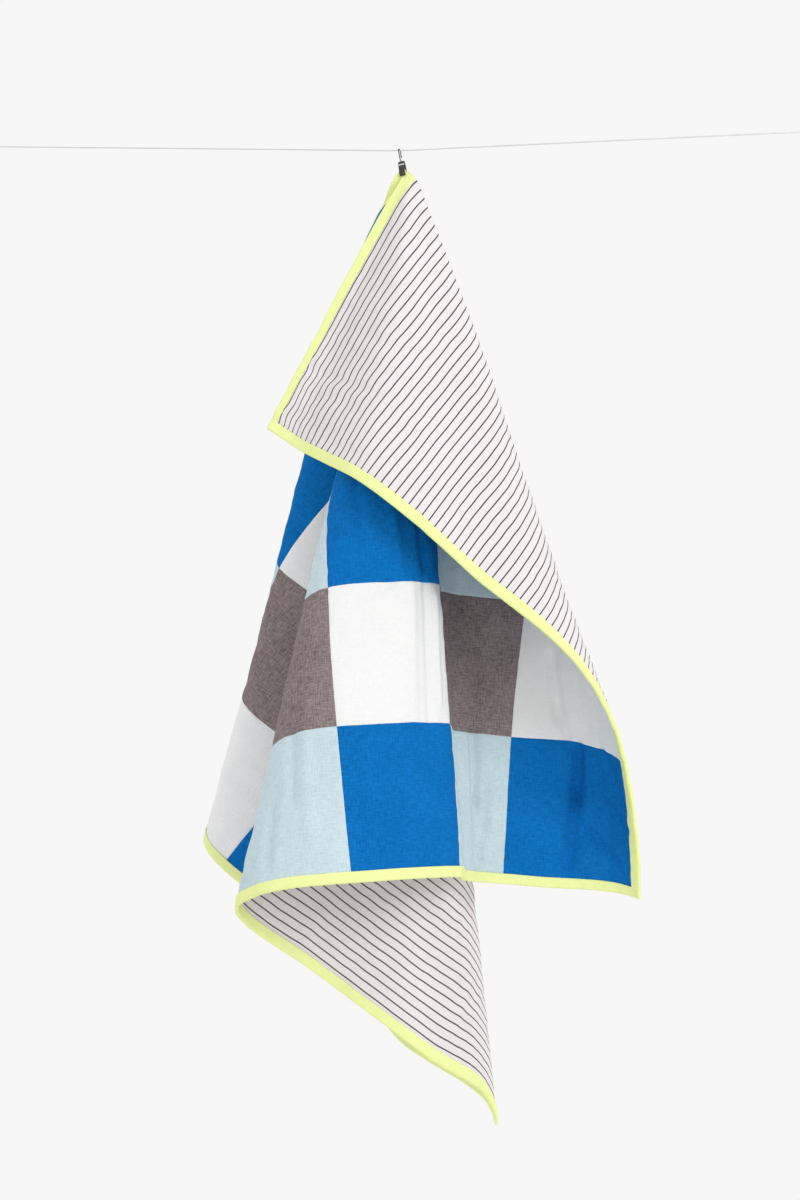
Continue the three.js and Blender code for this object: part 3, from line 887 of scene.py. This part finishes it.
class THROW_OT_wire(bpy.types.Operator):
    """Draw the taut wire between the studs"""

    bl_idname = "throw.wire"
    bl_label = "Wire"

    def execute(self, context):
        look = context.scene.throw_metal
        x = np.linspace(WIRE_ROUTE[0, 0], WIRE_ROUTE[-1, 0], WIRE_POINTS)
        z = through(WIRE_ROUTE[:, 0], WIRE_ROUTE[:, 1:], x)[:, 0]
        curve = bpy.data.curves.new("taut_wire", "CURVE")
        curve.dimensions = "3D"
        curve.bevel_depth = WIRE_DIAMETER / 2 * MM
        curve.bevel_resolution = look.sides // 4
        curve.use_fill_caps = True
        line = curve.splines.new("POLY")
        line.points.add(len(x) - 1)
        for point, px, pz in zip(line.points, x, z):
            point.co = (px * MM, 0, pz * MM, 1)
        marks_apart = (25 * MM, 1.1 * MM, 1.1 * MM)
        curve.materials.append(metal("drawn_steel", look.bright, roughness=0.35, marks_apart=marks_apart))
        made = add_object("taut_wire", curve, "wire_steel", "wire")
        return {"FINISHED"}


class THROW_OT_clip(bpy.types.Operator):
    """Bend the sprung clip and its hook"""

    bl_idname = "throw.clip"
    bl_label = "Clip"

    def execute(self, context):
        look = context.scene.throw_metal
        # The plated steel gets a darkened colour: painted dark reflections, in place of the darker surroundings
        # that real steel mirrors.
        plated = metal("dark_plated_steel", look.clip, roughness=0.35, marks_apart=(3 * MM, 3 * MM, 25 * MM))
        points, faces = strip_mesh()
        add_object("clip_jaws", mesh_of("clip_jaws", points, faces, [plated]), "clip_steel", "clip")

        marks_apart = (25 * MM, 1.1 * MM, 1.1 * MM)
        bright = metal("nickelled_steel", look.bright, roughness=0.25, marks_apart=marks_apart)
        points, faces = turned(BARREL, look.sides, 1)
        points = points / MM + (-BARREL[-1][1] / 2, *BARREL_PLACE)
        mesh = mesh_of("clip_barrel", clip_place(points), faces, [bright])
        add_object("clip_barrel", mesh, "clip_steel", "clip")

        tilt = math.cos(math.radians(CLIP["tilt"]))
        wire_over_clip = WIRE_ROUTE[len(WIRE_ROUTE) // 2, 1]
        crown = (wire_over_clip + WIRE_DIAMETER / 2 + HOOK["play"]) / tilt + HOOK["wire"] / 2
        top, bend = CLIP["top"], HOOK["bend"]
        straight_to = crown - bend - HOOK["straight"]
        angles = np.radians(np.arange(180, -1, -BEND_STEP))
        loop = np.stack((
            np.zeros(len(angles)), bend * np.cos(angles), crown - bend + bend * np.sin(angles),
        ), axis=-1)
        stem = np.array((
            (0, -HOOK["root"], top - CLIP["sheet"] / 2),
            *((0, -forward, top + up) for forward, up in HOOK_NECK),
            (0, -bend, top + HOOK["shank"]),
            (0, -bend, straight_to),
        ))
        tip = np.array(((0, bend, straight_to), (0, bend, HOOK["tip"])))
        points, faces = tube(np.vstack((stem, loop, tip)), HOOK["wire"] / 2, look.sides)
        # The hook's steel gets a darkened colour: painted dark reflections, in place of the darker surroundings
        # that real steel mirrors.
        marks_apart = (3 * MM, 3 * MM, 3 * MM)
        painted_dark_reflection = metal("blackened_steel_hook", look.hook, roughness=0.3, marks_apart=marks_apart)
        mesh = mesh_of("clip_hook", clip_place(points), faces, [painted_dark_reflection])
        add_object("clip_hook", mesh, "clip_steel", "clip")
        return {"FINISHED"}


class THROW_OT_binding(bpy.types.Operator):
    """Fold the binding over the four edges, with mitred corners"""

    bl_idname = "throw.binding"
    bl_label = "Binding"

    def execute(self, context):
        look = context.scene.throw_cloth
        section = dict(zip(TAPE_COLUMNS, TAPE_SECTION.T * MM))
        inward, off = section["inward"], section["off"]
        sides = (
            ((0, 0), (1, 0), (0, 1), WIDTH),
            ((WIDTH, 0), (0, 1), (-1, 0), LENGTH),
            ((WIDTH, LENGTH), (-1, 0), (0, -1), WIDTH),
            ((0, LENGTH), (0, -1), (1, 0), LENGTH),
        )
        stations = []
        for start, along, into, length in sides:
            run = np.linspace(TAPE_RUN_FROM, length - TAPE_RUN_FROM, round(length / TAPE_STEP))
            s = np.concatenate(((0,), BESIDE_MITRE, run, length - BESIDE_MITRE[::-1]))
            if start == (WIDTH, LENGTH):
                fine = np.arange(-TAPE_STEPS_AT_CLIP, TAPE_STEPS_AT_CLIP + 1) * NET_STEP_AT_CLIP
                s = np.unique(np.concatenate((s, WIDTH - CLIP_FROM_CORNER + fine)))
            share = (s / length)[:, None]
            reach = inward + (length - 2 * inward) * share
            u = start[0] + along[0] * reach + into[0] * inward
            v = start[1] + along[1] * reach + into[1] * inward
            dip = -MITRE_DIP * np.exp(-((np.minimum(s, length - s) / MITRE_REACH) ** 2))[:, None]
            uneven = noise(s / TAPE_PUCKER_APART, np.full_like(s, length * TAPE_SEED), TAPE_SEED)
            pucker = TAPE_PUCKER * (1 + uneven)[:, None]
            sewn = ease(inward / TAPE_WIDTH)
            outer = np.abs(off) > TAPE_OUTER_FACE
            height = off + np.sign(off) * outer * (dip + pucker * sewn)
            stations.append(np.stack((u, v, np.broadcast_to(height, u.shape)), axis=-1))
        u, v, height = np.moveaxis(np.concatenate(stations), -1, 0)
        points = drape(u, v, height, look).reshape(-1, 3)
        faces = rings(np.arange(u.size).reshape(u.shape), True)
        uv = np.stack((u, v), axis=-1).reshape(-1, 2)
        mesh = mesh_of("binding", points, faces, [tape_cloth(look)], uv)
        add_object("binding", mesh, "binding_tape", "edge_tape")
        return {"FINISHED"}


class THROW_OT_front(bpy.types.Operator):
    """Piece the checkerboard side from its squares"""

    bl_idname = "throw.front"
    bl_label = "Patchwork side"

    def execute(self, context):
        look = context.scene.throw_cloth
        points, faces, uv = open_net(PANEL_FACE, look, seam_dip)
        cloths = [gauze(name, getattr(look, colour), look, spread) for name, colour, spread in PATCH_CLOTHS]
        mesh = mesh_of("patchwork_side", points, faces, cloths, uv + drift(*uv.T))
        middles = uv[faces].mean(axis=1)
        column, row = np.floor((middles - TAPE_WIDTH) / SQUARE).astype(int).T
        column, row = np.clip(column, 0, COLUMNS - 1), np.clip(row, 0, ROWS - 1)
        mesh.polygons.foreach_set("material_index", 2 * (column % 2) + row % 2)
        made = add_object("patchwork_side", mesh, "patchwork_cloth", "front_panel")
        return {"FINISHED"}


class THROW_OT_backing(bpy.types.Operator):
    """Cut the striped side"""

    bl_idname = "throw.backing"
    bl_label = "Striped side"

    def execute(self, context):
        look = context.scene.throw_cloth
        points, faces, uv = open_net(-PANEL_FACE, look)
        mesh = mesh_of("striped_side", points, faces, [ticking(look)], uv + drift(*uv.T))
        made = add_object("striped_side", mesh, "striped_cloth", "backing_panel")
        return {"FINISHED"}


class THROW_PT_panel(bpy.types.Panel):
    """Lists the pieces of the hung throw and what can be changed."""

    bl_idname = "THROW_PT_panel"
    bl_label = "Hung throw"
    bl_space_type = "VIEW_3D"
    bl_region_type = "UI"
    bl_category = "Throw"

    def draw(self, context):
        for kind in PIECES:
            self.layout.operator(kind.bl_idname)
        for group in (context.scene.throw_cloth, context.scene.throw_metal, context.scene.throw_stage):
            box = self.layout.box()
            for name in type(group).__annotations__:
                box.prop(group, name)


GROUPS = {"throw_cloth": THROW_PG_cloth, "throw_metal": THROW_PG_metal, "throw_stage": THROW_PG_stage}
PIECES = (
    THROW_OT_stage, THROW_OT_studs, THROW_OT_wire, THROW_OT_clip, THROW_OT_binding, THROW_OT_front,
    THROW_OT_backing,
)


def register():
    for kind in (*GROUPS.values(), *PIECES, THROW_PT_panel):
        bpy.utils.register_class(kind)
    for name, kind in GROUPS.items():
        setattr(bpy.types.Scene, name, PointerProperty(type=kind))


def unregister():
    for name in GROUPS:
        delattr(bpy.types.Scene, name)
    for kind in (THROW_PT_panel, *PIECES, *GROUPS.values()):
        bpy.utils.unregister_class(kind)


def main():
    register()
    bpy.ops.throw.stage()
    bpy.ops.throw.studs()
    bpy.ops.throw.wire()
    bpy.ops.throw.clip()
    bpy.ops.throw.binding()
    bpy.ops.throw.front()
    bpy.ops.throw.backing()


if __name__ == "__main__":
    main()
